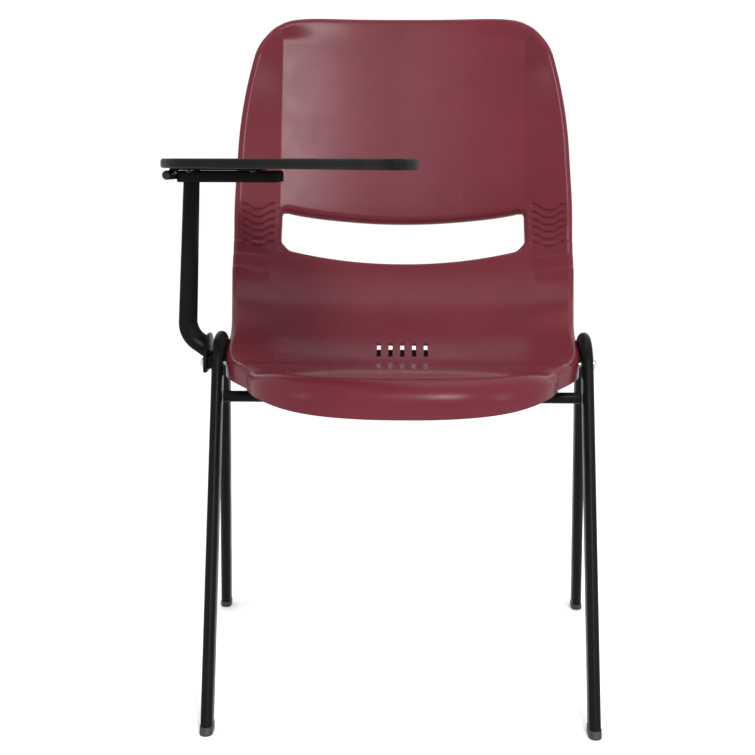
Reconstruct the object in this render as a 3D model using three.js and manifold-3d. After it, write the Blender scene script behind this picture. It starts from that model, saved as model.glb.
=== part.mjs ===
// Student desk chair: a moulded plastic shell on two bent A-frames, with a flip-up tablet arm.
// Millimetres, +Z up. The sitter faces -Y, and the tablet arm stands at -X.
// All dimensions are taken from the chair's middle plane (X = 0) and the middle of its footprint
// (Y = 0). The whole group is shifted at the end, so its origin is the bottom centre of its box.
import * as THREE from 'three';
import { mergeVertices } from 'three/addons/utils/BufferGeometryUtils.js';
import Module from 'manifold-3d';

const wasm = await Module();
wasm.setup();

// Gap that touching pieces keep.
const touchGap = 0.3;

// Shell
const shellThickness = 4.5;
const seatHalfWidth = 219.6;
const backHalfWidth = 228.5;
const creaseHalfWidth = 176;
const rimRadius = 6;
const lipRadius = 30;
const skirtBottom = 393;
const openingHalfLength = 180;
const openingBottom = 525;
const openingTop = 592;
const ventCount = 5;
const ventPitch = 15.5;
const ventWidth = 7.3;
const ventFront = -12;
const ventBack = 38;

// Side frames: one flat-oval tube each, bent over at the top
const tubeWidth = 14.5;
const tubeDepth = 29;
const archX = 237.5;
const archTop = 450;
const archRadius = 40;
const frontFootX = 229.5;
const rearFootX = 266.5;
const footY = 243;
const glideHeight = 9;
const glideWall = 0.7;

// Crossbars
const barRadius = 7.2;
const frontBarY = -58;
const frontBarZ = 373;
const rearBarY = 44.5;
const rearBarZ = 413;

// Shell screws
const screwY = [-30, 26];
const screwZ = 412;
const screwRadius = 3;
const screwClearance = 0.3;
const headRadius = 6;
const headHeight = 3.4;
const washerRadius = 8;
const washerThickness = 1.5;
const nutFlats = 10;
const nutThickness = 5;
const nutSeatX = archX - tubeWidth / 2 - shellThickness - 0.9;
const nutSeatRadius = 7.2;
const skirtReach = 26;

// Tablet arm
const plateThickness = 4.5;
const plateStandoff = 5.6;
const armTop = new THREE.Vector3(-273.5, 4, 642.7);
const armElbow = new THREE.Vector3(-280.5, 0, 462);
const armBendRadius = 32;
const armBendAngle = THREE.MathUtils.degToRad(55);
const armSectionWidth = 17;
const armSectionDepth = 28;
const armTwistTop = THREE.MathUtils.degToRad(25);
const armTwistBottom = THREE.MathUtils.degToRad(50);

// Support bar, hinge and tablet
const barLeft = -289;
const barRight = -154;
const barBottom = 643;
const barTop = 657.8;
const barHalfDepth = 21;
const pivotX = -300;
const pivotZ = 652;
const knuckleRadius = 6;
const pinRadius = 3;
const pinClearance = 0.08;
const leafThickness = 2.4;
const leafLeft = -293;
const leafRight = -178;
const leafHalfDepth = 42;
const tabletBottom = 661;
const tabletThickness = 12;
const tabletBevel = 3;

const materials = {
  shell: () => new THREE.MeshStandardMaterial({ color: 0x7c3f46, roughness: 0.42, metalness: 0 }),
  frame: () => new THREE.MeshStandardMaterial({ color: 0x1c1c1d, roughness: 0.4, metalness: 0.2 }),
  tablet: () => new THREE.MeshStandardMaterial({ color: 0x252527, roughness: 0.5, metalness: 0 }),
  glide: () => new THREE.MeshStandardMaterial({ color: 0x101011, roughness: 0.6, metalness: 0 }),
  zinc: () => new THREE.MeshStandardMaterial({ color: 0xb9babb, roughness: 0.3, metalness: 0.9 }),
};

const chair = new THREE.Group();

function addPiece(name, geometry, material) {
  const mesh = new THREE.Mesh(geometry, materials[material]());
  mesh.name = name;
  chair.add(mesh);
  return mesh;
}

// Solids.

function toSolid(geometry) {
  const plain = geometry.clone();
  plain.deleteAttribute('normal');
  plain.deleteAttribute('uv');
  const merged = mergeVertices(plain, 1e-4);
  return new wasm.Manifold(new wasm.Mesh({
    numProp: 3,
    vertProperties: new Float32Array(merged.attributes.position.array),
    triVerts: new Uint32Array(merged.index.array),
  }));
}

function toGeometry(solid) {
  const mesh = solid.getMesh();
  const geometry = new THREE.BufferGeometry();
  geometry.setAttribute('position', new THREE.BufferAttribute(new Float32Array(mesh.vertProperties), 3));
  geometry.setIndex(new THREE.BufferAttribute(new Uint32Array(mesh.triVerts), 1));
  geometry.computeVertexNormals();
  return geometry;
}

function cut(base, tools) {
  return toGeometry(tools.reduce((solid, tool) => solid.subtract(toSolid(tool)), toSolid(base)));
}

function join(pieces) {
  return toGeometry(pieces.map(toSolid).reduce((solid, piece) => solid.add(piece)));
}

// A closed solid through a list of rings, each a loop of points, with flat caps.
function loft(rings) {
  const sides = rings[0].length;
  const positions = rings.flat().flatMap((point) => [point.x, point.y, point.z]);
  const triangles = [];
  for (let ring = 0; ring + 1 < rings.length; ring += 1) {
    for (let side = 0; side < sides; side += 1) {
      const next = (side + 1) % sides;
      const a = ring * sides + side;
      const b = ring * sides + next;
      triangles.push(a, b, a + sides, b, b + sides, a + sides);
    }
  }
  const last = (rings.length - 1) * sides;
  for (let side = 1; side + 1 < sides; side += 1) {
    triangles.push(0, side + 1, side);
    triangles.push(last, last + side, last + side + 1);
  }
  return orientedGeometry(positions, triangles);
}

function orientedGeometry(positions, triangles) {
  const geometry = new THREE.BufferGeometry();
  geometry.setAttribute('position', new THREE.Float32BufferAttribute(positions, 3));
  geometry.setIndex(signedVolume(positions, triangles) < 0 ? flipped(triangles) : triangles);
  geometry.computeVertexNormals();
  return geometry;
}

function signedVolume(positions, triangles) {
  const corner = (index) => new THREE.Vector3().fromArray(positions, index * 3);
  let volume = 0;
  for (let first = 0; first < triangles.length; first += 3) {
    const [a, b, c] = [0, 1, 2].map((offset) => corner(triangles[first + offset]));
    volume += a.dot(b.cross(c)) / 6;
  }
  return volume;
}

function flipped(triangles) {
  const turned = [];
  for (let first = 0; first < triangles.length; first += 3) {
    turned.push(triangles[first], triangles[first + 2], triangles[first + 1]);
  }
  return turned;
}

// Round bar along X, Y or Z, centred on a point.
function bar(axis, radius, length, x, y, z, sides = 20) {
  const geometry = new THREE.CylinderGeometry(radius, radius, length, sides);
  if (axis === 'x') geometry.rotateZ(-Math.PI / 2);
  if (axis === 'z') geometry.rotateX(Math.PI / 2);
  return geometry.translate(x, y, z);
}

function block(low, high) {
  const size = high.map((value, axis) => value - low[axis]);
  const middle = high.map((value, axis) => (value + low[axis]) / 2);
  return new THREE.BoxGeometry(...size).translate(...middle);
}

// Flat ring or hexagon along X with a round hole, such as a washer or a nut.
function flatRing(outline, holeRadius, thickness, x, y, z) {
  const hole = new THREE.Path().absarc(0, 0, holeRadius, 0, Math.PI * 2, true);
  outline.holes.push(hole);
  const options = { depth: thickness, bevelEnabled: false, curveSegments: 16 };
  const geometry = new THREE.ExtrudeGeometry(outline, options);
  return geometry.translate(0, 0, -thickness / 2).rotateY(Math.PI / 2).translate(x, y, z);
}

function washerGeometry(radius, thickness, x, y, z) {
  const outline = new THREE.Shape().absarc(0, 0, radius, 0, Math.PI * 2, false);
  return flatRing(outline, screwRadius + screwClearance, thickness, x, y, z);
}

function nutGeometry(x, y, z) {
  const cornerRadius = nutFlats / 2 / Math.cos(Math.PI / 6);
  const corners = [0, 1, 2, 3, 4, 5].map((corner) => {
    const angle = corner * Math.PI / 3;
    return new THREE.Vector2(cornerRadius * Math.cos(angle), cornerRadius * Math.sin(angle));
  });
  return flatRing(new THREE.Shape(corners), screwRadius + screwClearance, nutThickness, x, y, z);
}

// Button-head screw along X: the head's outer face looks towards `outward` (+1 or -1).
function screwGeometry(headFaceX, tipX, outward, y, z, radius = headRadius) {
  const length = Math.abs(headFaceX - tipX);
  const profile = [
    new THREE.Vector2(0, 0),
    new THREE.Vector2(screwRadius, 0),
    new THREE.Vector2(screwRadius, length),
    new THREE.Vector2(radius, length),
    new THREE.Vector2(radius, length + headHeight * 0.35),
    new THREE.Vector2(radius * 0.82, length + headHeight * 0.78),
    new THREE.Vector2(radius * 0.45, length + headHeight),
    new THREE.Vector2(0, length + headHeight),
  ];
  const geometry = new THREE.LatheGeometry(profile, 20);
  geometry.rotateZ(outward > 0 ? -Math.PI / 2 : Math.PI / 2);
  return geometry.translate(tipX, y, z);
}

// Shell.

// Centre line of the seat and back in side view, as (Y, Z), from the front crest to the top edge.
const shellProfile = new THREE.CatmullRomCurve3([
  [-207, 420], [-165, 424], [-100, 419], [-40, 415.5], [20, 426], [85, 448], [145, 480],
  [185, 521], [207, 566], [219, 612], [242, 706], [280, 869],
].map(([y, z]) => new THREE.Vector3(0, y, z)), false, 'centripetal');
shellProfile.arcLengthDivisions = 1200;
const profileLength = shellProfile.getLength();

// Smooth interpolation through (position, value) pairs.
function ramp(pairs) {
  return (position) => {
    const after = pairs.findIndex(([start]) => start > position);
    if (after === 0) return pairs[0][1];
    if (after < 0) return pairs[pairs.length - 1][1];
    const [start, low] = pairs[after - 1];
    const [end, high] = pairs[after];
    const share = (position - start) / (end - start);
    return low + (high - low) * share * share * (3 - 2 * share);
  };
}

// How far the side edges stand above the centre line, along the profile.
const edgeLift = ramp([[0, -9], [70, -10], [135, 3], [190, 11], [245, 12], [330, 19], [420, 28],
  [500, 32], [profileLength, 33]]);
const backShare = ramp([[400, 0], [500, 1]]);
const frontDepth = 95;
const topDepth = 58;
const taperLength = 241;

function halfWidth(along) {
  const fromFront = Math.max(0, (207 - along) / 112);
  const fromTop = Math.max(0, (along - (profileLength - taperLength)) / (taperLength - topDepth));
  const side = ramp([[250, seatHalfWidth], [340, backHalfWidth]])(along);
  return side - 37.5 * Math.min(fromFront, 1) ** 2 - 22.5 * Math.min(fromTop, 1) ** 2.2;
}

// Lift of the surface at a point across, along the profile's normal.
function lift(across, along) {
  const share = Math.min(1.05, Math.abs(across) / halfWidth(along));
  const dish = edgeLift(along) * share ** 3;
  const panel = 9 * Math.min(1, Math.abs(across) / creaseHalfWidth) ** 2;
  const wingWidth = halfWidth(along) - creaseHalfWidth;
  const wing = Math.max(0, (Math.abs(across) - creaseHalfWidth) / wingWidth) * (edgeLift(along) - 9);
  return dish + (panel + wing - dish) * backShare(along);
}

function profileFrame(along) {
  const share = THREE.MathUtils.clamp(along / profileLength, 0, 1);
  const point = shellProfile.getPointAt(share);
  const tangent = shellProfile.getTangentAt(share);
  const up = new THREE.Vector3(0, -tangent.z, tangent.y);
  return { point, up };
}

function surfacePoint(across, along) {
  const { point, up } = profileFrame(along);
  return new THREE.Vector3(across, 0, 0).add(point).addScaledVector(up, lift(across, along));
}

// The grid follows the rounded front and top outlines: both ends of a column are shifted.
function gridPoint(column, row) {
  const nominal = row * profileLength;
  const frontFade = Math.max(0, 1 - nominal / 190) ** 1.5;
  const topFade = Math.max(0, 1 - (profileLength - nominal) / 240) ** 1.5;
  const frontShift = frontDepth * (1 - (1 - Math.abs(column) ** 3) ** 0.8) * frontFade;
  const topShift = topDepth * (1 - (1 - Math.abs(column) ** 10) ** 0.86) * topFade;
  const along = nominal + frontShift - topShift;
  const across = column * halfWidth(nominal + frontDepth * frontFade - topDepth * topFade);
  return { point: surfacePoint(across, along), up: profileFrame(along).up };
}

const columnCount = 22;
const rowCount = 36;
const rollSteps = 4;

function shellColumn(index) {
  return Math.sin((index / columnCount - 0.5) * Math.PI * 0.86) / Math.sin(Math.PI * 0.43);
}

// Radius of the rolled rim, and how far its straight flange runs on, by place on the rim.
function rimShape(point) {
  const front = THREE.MathUtils.smoothstep(-point.y, 60, 205);
  const radius = rimRadius + 2 + (lipRadius - rimRadius - 2) * front ** 2;
  const lipFlange = 1.5 + 12 * front ** 2;
  const skirtShare = THREE.MathUtils.smoothstep(point.y, -88, -70)
    - THREE.MathUtils.smoothstep(point.y, 33, 36);
  const skirt = Math.max(0, point.z - radius - skirtBottom);
  return { radius, flange: Math.max(lipFlange, skirt * Math.max(0, skirtShare)) };
}

function shellSurface() {
  const grid = [];
  for (let row = 0; row <= rowCount; row += 1) {
    const line = [];
    for (let column = 0; column <= columnCount; column += 1) {
      line.push(gridPoint(shellColumn(column), row / rowCount));
    }
    grid.push(line);
  }
  return grid;
}

function gridNormal(grid, row, column) {
  const at = (r, c) => grid[THREE.MathUtils.clamp(r, 0, rowCount)][THREE.MathUtils.clamp(c, 0, columnCount)];
  const across = at(row, column + 1).point.clone().sub(at(row, column - 1).point);
  const along = at(row + 1, column).point.clone().sub(at(row - 1, column).point);
  return across.cross(along).normalize();
}

function rimLoop() {
  const loop = [];
  for (let column = 0; column < columnCount; column += 1) loop.push([0, column]);
  for (let row = 0; row < rowCount; row += 1) loop.push([row, columnCount]);
  for (let column = columnCount; column > 0; column -= 1) loop.push([rowCount, column]);
  for (let row = rowCount; row > 0; row -= 1) loop.push([row, 0]);
  return loop;
}

function shellGeometry() {
  const grid = shellSurface();
  const loop = rimLoop();
  const vertices = grid.flat().map((node) => node.point);
  const index = (row, column) => row * (columnCount + 1) + column;
  const faces = [];
  for (let row = 0; row < rowCount; row += 1) {
    for (let column = 0; column < columnCount; column += 1) {
      const corners = [index(row, column), index(row, column + 1)];
      faces.push([...corners, index(row + 1, column + 1), index(row + 1, column)]);
    }
  }
  const rims = loop.map(([row, column], place) => {
    const before = loop[(place + loop.length - 1) % loop.length];
    const after = loop[(place + 1) % loop.length];
    const node = grid[row][column];
    const tangent = grid[after[0]][after[1]].point.clone().sub(grid[before[0]][before[1]].point);
    const outward = tangent.cross(node.up).normalize();
    const normal = gridNormal(grid, row, column);
    const tilt = Math.atan2(-normal.dot(outward), normal.dot(node.up));
    return { node, outward, tilt: THREE.MathUtils.clamp(tilt, -0.7, 0.7), ...rimShape(node.point) };
  });
  let previous = loop.map(([row, column]) => index(row, column));
  for (let step = 1; step <= rollSteps + 1; step += 1) {
    const ring = rims.map(({ node, outward, tilt, radius, flange }) => {
      const share = Math.min(1, step / rollSteps);
      const angle = -tilt + (Math.PI / 2 + tilt) * share;
      const point = node.point.clone();
      point.addScaledVector(outward, radius * (Math.sin(angle) + Math.sin(tilt)));
      point.addScaledVector(node.up, radius * (Math.cos(angle) - Math.cos(tilt)));
      if (step > rollSteps) point.addScaledVector(node.up, -flange);
      vertices.push(point);
      return vertices.length - 1;
    });
    ring.forEach((vertex, place) => {
      const next = (place + 1) % ring.length;
      faces.push([previous[next], previous[place], vertex, ring[next]]);
    });
    previous = ring;
  }
  return thicken(vertices, faces, previous);
}

// Gives a sheet of four-sided faces a thickness below it, and closes it along its border loop.
function thicken(vertices, faces, border) {
  const normals = vertices.map(() => new THREE.Vector3());
  faces.forEach((face) => {
    const [a, b, c, d] = face.map((vertex) => vertices[vertex]);
    const normal = c.clone().sub(a).cross(d.clone().sub(b)).normalize();
    face.forEach((vertex) => normals[vertex].add(normal));
  });
  const count = vertices.length;
  const under = vertices.map((point, vertex) => (
    point.clone().addScaledVector(normals[vertex].normalize(), -shellThickness)));
  const triangles = faces.flatMap(([a, b, c, d]) => [
    a, b, c, a, c, d,
    count + a, count + c, count + b, count + a, count + d, count + c,
  ]);
  border.forEach((vertex, place) => {
    const next = border[(place + 1) % border.length];
    triangles.push(next, vertex, count + vertex, next, count + vertex, count + next);
  });
  const positions = [...vertices, ...under].flatMap((point) => [point.x, point.y, point.z]);
  return orientedGeometry(positions, triangles);
}

// Long opening between seat and back: its lower edge dips in the middle, its ends are rounded.
function openingCutter() {
  const corner = 14;
  const end = openingHalfLength;
  const outline = new THREE.Shape();
  outline.moveTo(-end + corner, openingTop + 8);
  outline.quadraticCurveTo(-end, openingTop + 8, -end, openingTop - 8);
  outline.quadraticCurveTo(-end, openingBottom + 20, -end + 25, openingBottom + 17);
  outline.quadraticCurveTo(0, openingBottom - 16, end - 25, openingBottom + 17);
  outline.quadraticCurveTo(end, openingBottom + 20, end, openingTop - 8);
  outline.quadraticCurveTo(end, openingTop + 8, end - corner, openingTop + 8);
  outline.quadraticCurveTo(0, openingTop - 10, -end + corner, openingTop + 8);
  const options = { depth: 200, bevelEnabled: false, curveSegments: 8 };
  return new THREE.ExtrudeGeometry(outline, options).rotateX(Math.PI / 2).translate(0, 320, 0);
}

function ventCutter(place) {
  const x = (place - (ventCount - 1) / 2) * ventPitch;
  return block([x - ventWidth / 2, ventFront, 380], [x + ventWidth / 2, ventBack, 460]);
}

function screwHoles(radius) {
  return screwY.flatMap((y) => [-1, 1].map((side) => bar('x', radius, 90, side * archX, y, screwZ, 16)));
}

function buildShell() {
  const vents = Array.from({ length: ventCount }, (_, place) => ventCutter(place));
  // The skirts give way to the rear crossbar, and have flat seats for the nuts.
  const skirtCutters = [-1, 1].flatMap((side) => [
    bar('x', barRadius + 2, skirtReach, side * (archX - skirtReach / 2), rearBarY, rearBarZ),
    ...screwY.map((y) => bar('x', nutSeatRadius, skirtReach, side * (nutSeatX - skirtReach / 2), y, screwZ)),
  ]);
  const tools = [openingCutter(), ...vents, ...screwHoles(screwRadius + screwClearance), ...skirtCutters];
  addPiece('seat_shell', cut(shellGeometry(), tools), 'shell');
}

// Side frames.

// Flat oval: two half circles and two flats, `depth` along the first axis, `width` along the other.
function flatOval(width, depth, steps = 6) {
  const radius = width / 2;
  const shift = depth / 2 - radius;
  const points = [];
  for (const end of [1, -1]) {
    for (let step = 0; step <= steps; step += 1) {
      const angle = (step / steps - 0.5) * Math.PI;
      points.push([end * (shift + radius * Math.cos(angle)), end * radius * Math.sin(angle)]);
    }
  }
  return points;
}

// Sweeps a section along a path. `side` is the direction of the section's second axis.
function sweep(path, section, side, ends = {}, turn = () => 0) {
  const rings = path.map((point, place) => {
    const before = path[Math.max(0, place - 1)];
    const after = path[Math.min(path.length - 1, place + 1)];
    const tangent = after.clone().sub(before).normalize();
    const across = side.clone().addScaledVector(tangent, -side.dot(tangent)).normalize();
    const deep = across.clone().cross(tangent).normalize();
    const angle = turn(place / (path.length - 1));
    return section.map(([u, v]) => {
      const a = u * Math.cos(angle) - v * Math.sin(angle);
      const b = u * Math.sin(angle) + v * Math.cos(angle);
      const corner = point.clone().addScaledVector(deep, a).addScaledVector(across, b);
      const plane = place === 0 ? ends.first : place === path.length - 1 ? ends.last : null;
      if (!plane) return corner;
      const reach = (plane.value - corner[plane.axis]) / tangent[plane.axis];
      return corner.addScaledVector(tangent, reach);
    });
  });
  return loft(rings);
}

const archCentreZ = archTop - tubeDepth / 2 - archRadius;
const legLean = Math.atan2(footY, archCentreZ) - Math.asin(archRadius / Math.hypot(footY, archCentreZ));

// Centre line of one leg from the bend down to the floor; `fore` is -1 for the front leg.
function legPoint(sideSign, fore, height) {
  const startY = archRadius * Math.cos(legLean);
  const startZ = archCentreZ + archRadius * Math.sin(legLean);
  const drop = (startZ - height) / startZ;
  const footX = fore < 0 ? frontFootX : rearFootX;
  const y = startY + (startZ - height) * Math.tan(legLean);
  return new THREE.Vector3(sideSign * THREE.MathUtils.lerp(archX, footX, drop), fore * y, height);
}

function framePath(sideSign) {
  const startZ = archCentreZ + archRadius * Math.sin(legLean);
  const heights = [1, 0.66, 0.33, 0.03].map((share) => (1 - share) * startZ + share * glideHeight);
  const front = heights.map((height) => legPoint(sideSign, -1, height));
  const arch = [];
  const steps = 12;
  for (let step = 0; step <= steps; step += 1) {
    const angle = Math.PI - legLean - (Math.PI - 2 * legLean) * (step / steps);
    arch.push(new THREE.Vector3(sideSign * archX, archRadius * Math.cos(angle),
      archCentreZ + archRadius * Math.sin(angle)));
  }
  const rear = heights.map((height) => legPoint(sideSign, 1, height)).reverse();
  return [...front, ...arch, ...rear];
}

const floorPlane = (value) => ({ axis: 'z', value });

function buildSideFrames() {
  const alongX = new THREE.Vector3(1, 0, 0);
  for (const [name, side] of [['left', -1], ['right', 1]]) {
    const ends = { first: floorPlane(glideHeight + touchGap), last: floorPlane(glideHeight + touchGap) };
    const tube = sweep(framePath(side), flatOval(tubeWidth, tubeDepth), alongX, ends);
    const holes = screwHoles(screwRadius + screwClearance);
    addPiece(`${name}_leg_frame`, cut(tube, holes), 'frame');
    for (const [place, fore] of [['front', -1], ['rear', 1]]) {
      const path = [legPoint(side, fore, glideHeight), legPoint(side, fore, 0)];
      const section = flatOval(tubeWidth + 2 * glideWall, tubeDepth + 2 * glideWall);
      const caps = { first: floorPlane(glideHeight), last: floorPlane(0) };
      addPiece(`foot_glide_${place}_${name}`, sweep(path, section, alongX, caps), 'glide');
    }
  }
}

function buildCrossbars() {
  const halfLength = archX - tubeWidth / 2 - touchGap;
  addPiece('front_crossbar', bar('x', barRadius, 2 * halfLength - 4, 0, frontBarY, frontBarZ), 'frame');
  addPiece('rear_crossbar', bar('x', barRadius, 2 * halfLength, 0, rearBarY, rearBarZ), 'frame');
}

// Screws hold the shell's skirts to the arches. On the arm's side they pass its plate too.
function buildShellScrews() {
  const innerFace = nutSeatX - touchGap;
  const outerFace = archX + tubeWidth / 2;
  const plateFace = outerFace + plateStandoff + 2 * touchGap + plateThickness;
  for (const [name, side] of [['left', -1], ['right', 1]]) {
    const seatFace = side < 0 ? plateFace : outerFace;
    screwY.forEach((y, place) => {
      const end = ['front', 'rear'][place];
      const nutX = side * (innerFace - nutThickness / 2);
      const washerX = side * (seatFace + touchGap + washerThickness / 2);
      const headFace = side * (seatFace + 2 * touchGap + washerThickness);
      const tip = side * (innerFace - nutThickness - 2);
      addPiece(`shell_nut_${end}_${name}`, nutGeometry(nutX, y, screwZ), 'zinc');
      addPiece(`shell_washer_${end}_${name}`,
        washerGeometry(washerRadius, washerThickness, washerX, y, screwZ), 'zinc');
      addPiece(`shell_screw_${end}_${name}`, screwGeometry(headFace, tip, side, y, screwZ), 'zinc');
      if (side < 0) {
        const spacerX = side * (outerFace + touchGap + plateStandoff / 2);
        addPiece(`arm_spacer_${end}`,
          washerGeometry(washerRadius, plateStandoff, spacerX, y, screwZ), 'frame');
      }
    });
  }
}

// Tablet arm.

const plateInnerX = -(archX + tubeWidth / 2 + plateStandoff + 2 * touchGap);
const plateOuterX = plateInnerX - plateThickness;

function buildArmPlate() {
  const outline = new THREE.Shape();
  const [low, high] = [401, 447];
  outline.moveTo(-43, low);
  outline.lineTo(39, low);
  outline.quadraticCurveTo(44, low, 44, low + 6);
  outline.lineTo(40, screwZ + 12);
  outline.quadraticCurveTo(20, high, 12, high);
  outline.lineTo(-12, high);
  outline.quadraticCurveTo(-24, high, -44, screwZ + 12);
  outline.lineTo(-48, low + 6);
  outline.quadraticCurveTo(-48, low, -43, low);
  const options = { depth: plateThickness, bevelEnabled: false, curveSegments: 5 };
  // The outline is drawn in (Y, Z) and stands across X.
  const geometry = new THREE.ExtrudeGeometry(outline, options);
  geometry.rotateX(Math.PI / 2).rotateZ(Math.PI / 2).translate(plateOuterX, 0, 0);
  addPiece('arm_plate', cut(geometry, screwHoles(screwRadius + screwClearance)), 'frame');
}

function armPath() {
  const centre = armElbow.clone().add(new THREE.Vector3(armBendRadius, 0, 0));
  const bend = [];
  const steps = 8;
  for (let step = 0; step <= steps; step += 1) {
    const angle = armBendAngle * (step / steps);
    bend.push(new THREE.Vector3(centre.x - armBendRadius * Math.cos(angle), armElbow.y,
      centre.z - armBendRadius * Math.sin(angle)));
  }
  const heading = new THREE.Vector3(Math.sin(armBendAngle), 0, -Math.cos(armBendAngle));
  const tip = bend[steps].clone().addScaledVector(heading, 14);
  const straight = [0, 0.25, 0.5, 0.75].map((share) => armTop.clone().lerp(armElbow, share));
  return [...straight, ...bend, tip];
}

function buildArmTube() {
  const section = [];
  const sides = 20;
  for (let side = 0; side < sides; side += 1) {
    const angle = side / sides * Math.PI * 2;
    section.push([armSectionDepth / 2 * Math.cos(angle), armSectionWidth / 2 * Math.sin(angle)]);
  }
  const ends = { first: floorPlane(armTop.z), last: { axis: 'x', value: plateOuterX - touchGap } };
  const twist = (share) => THREE.MathUtils.lerp(armTwistTop, armTwistBottom, Math.min(1, share * 1.6));
  const geometry = sweep(armPath(), section, new THREE.Vector3(1, 0, 0.3), ends, twist);
  addPiece('tablet_arm_tube', geometry, 'frame');
}

// Bar under the tablet, with one rounded end; its other end carries the fixed hinge knuckles.
function buildSupportBar() {
  const outline = new THREE.Shape();
  outline.moveTo(barLeft, -barHalfDepth);
  outline.lineTo(barRight - barHalfDepth, -barHalfDepth);
  outline.absarc(barRight - barHalfDepth, 0, barHalfDepth, -Math.PI / 2, Math.PI / 2, false);
  outline.lineTo(barLeft, barHalfDepth);
  outline.closePath();
  const options = {
    depth: barTop - barBottom - 2 * 2.5,
    bevelEnabled: true,
    bevelThickness: 2.5,
    bevelSize: 2.5,
    bevelOffset: -2.5,
    bevelSegments: 2,
    curveSegments: 10,
  };
  const body = new THREE.ExtrudeGeometry(outline, options).translate(0, 0, barBottom + 2.5);
  addPiece('tablet_support_bar', body, 'frame');
}

const knuckleHalf = 30;
const knuckleSplit = 10;
const knuckleGap = 0.4;

// Knuckle round the hinge pin, from one Y to another, with an arm that reaches towards +X.
function knuckle(fromY, toY, armHigh, armLow, reachX) {
  const middle = (fromY + toY) / 2;
  const round = bar('y', knuckleRadius, toY - fromY, pivotX, middle, pivotZ, 24);
  const arm = block([pivotX, fromY, armLow], [reachX, toY, armHigh]);
  return join([round, arm]);
}

function buildHinge() {
  const bore = bar('y', pinRadius + pinClearance, 100, pivotX, 0, pivotZ, 24);
  const fixedReach = barLeft - touchGap;
  [['front', -1], ['rear', 1]].forEach(([name, side]) => {
    const near = side * (knuckleSplit + knuckleGap);
    const far = side * knuckleHalf;
    const piece = knuckle(Math.min(near, far), Math.max(near, far), pivotZ + 1, pivotZ - 5, fixedReach);
    addPiece(`hinge_knuckle_${name}`, cut(piece, [bore]), 'frame');
  });
  const leafBottom = tabletBottom - touchGap - leafThickness;
  const leafTop = leafBottom + leafThickness;
  const leaf = block([leafLeft, -leafHalfDepth, leafBottom], [leafRight, leafHalfDepth, leafTop]);
  const moving = knuckle(-knuckleSplit, knuckleSplit, leafTop, pivotZ, leafLeft + 3);
  const clearance = block([pivotX + knuckleRadius, -60, pivotZ - 9], [pivotX + 30, 60, leafBottom]);
  addPiece('tablet_hinge_leaf', cut(cut(join([leaf, moving]), [bore]), [clearance]), 'frame');
  const pin = join([
    bar('y', pinRadius, 2 * knuckleHalf + 6, pivotX, 0, pivotZ, 24),
    bar('y', pinRadius + 1.8, 2.2, pivotX, -knuckleHalf - 1.9, pivotZ, 24),
  ]);
  addPiece('hinge_pin', pin, 'zinc');
  addPiece('hinge_pin_clip', cut(bar('y', pinRadius + 1.8, 1.4, pivotX, knuckleHalf + 1.5, pivotZ, 24),
    [bar('y', pinRadius + 0.3, 8, pivotX, knuckleHalf + 1.5, pivotZ, 24)]), 'zinc');
}

function tabletOutline() {
  const corners = [
    [-250, 80], [-296, 42], [-309, -18], [-288, -82], [-232, -134], [-165, -192], [-102, -262],
    [-48, -336], [-8, -386], [13, -360], [12, -262], [-6, -150], [-58, -38], [-150, 50],
  ].map(([x, y]) => new THREE.Vector3(x, y, 0));
  const curve = new THREE.CatmullRomCurve3(corners, true, 'centripetal');
  return curve.getSpacedPoints(64).slice(0, -1).map((point) => new THREE.Vector2(point.x, point.y));
}

function buildTablet() {
  const options = {
    depth: tabletThickness - 2 * tabletBevel,
    bevelEnabled: true,
    bevelThickness: tabletBevel,
    bevelSize: tabletBevel,
    bevelOffset: -tabletBevel,
    bevelSegments: 2,
  };
  const top = new THREE.ExtrudeGeometry(new THREE.Shape(tabletOutline()), options);
  top.translate(0, 0, tabletBottom + tabletBevel);
  const screws = [];
  for (const x of [leafLeft + 22, leafRight - 12]) {
    for (const y of [-leafHalfDepth + 9, leafHalfDepth - 9]) screws.push([x, y]);
  }
  const leafBottom = tabletBottom - touchGap - leafThickness;
  const holes = screws.map(([x, y]) => bar('z', 2.5, 18, x, y, tabletBottom, 12));
  addPiece('tablet_top', cut(top, holes), 'tablet');
  const leaf = chair.getObjectByName('tablet_hinge_leaf');
  leaf.geometry = cut(leaf.geometry, holes);
  screws.forEach(([x, y], place) => {
    const profile = [[0, 0], [4.5, 0], [4.5, -1.2], [2.6, -2.4], [0, -2.4]].reverse()
      .concat([[0, 9]]).map(([r, z]) => new THREE.Vector2(r, z));
    const shank = [[2.2, 9], [2.2, 0]].map(([r, z]) => new THREE.Vector2(r, z));
    const lathe = [...profile.slice(0, 4), ...shank.reverse(), profile[profile.length - 1]];
    const geometry = new THREE.LatheGeometry(lathe, 16).rotateX(Math.PI / 2);
    addPiece(`tablet_screw_${place + 1}`, geometry.translate(x, y, leafBottom - touchGap), 'zinc');
  });
}

buildShell();
buildSideFrames();
buildCrossbars();
buildShellScrews();
buildArmPlate();
buildArmTube();
buildSupportBar();
buildHinge();
buildTablet();

const box = new THREE.Box3().setFromObject(chair);
const middle = box.getCenter(new THREE.Vector3());
chair.position.set(-middle.x, -middle.y, -box.min.z);
chair.updateMatrixWorld(true);

export default chair;
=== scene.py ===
# Student desk chair with a flip-up tablet arm: fine surfaces, finishes, light and camera.
import math
from types import SimpleNamespace

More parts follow.
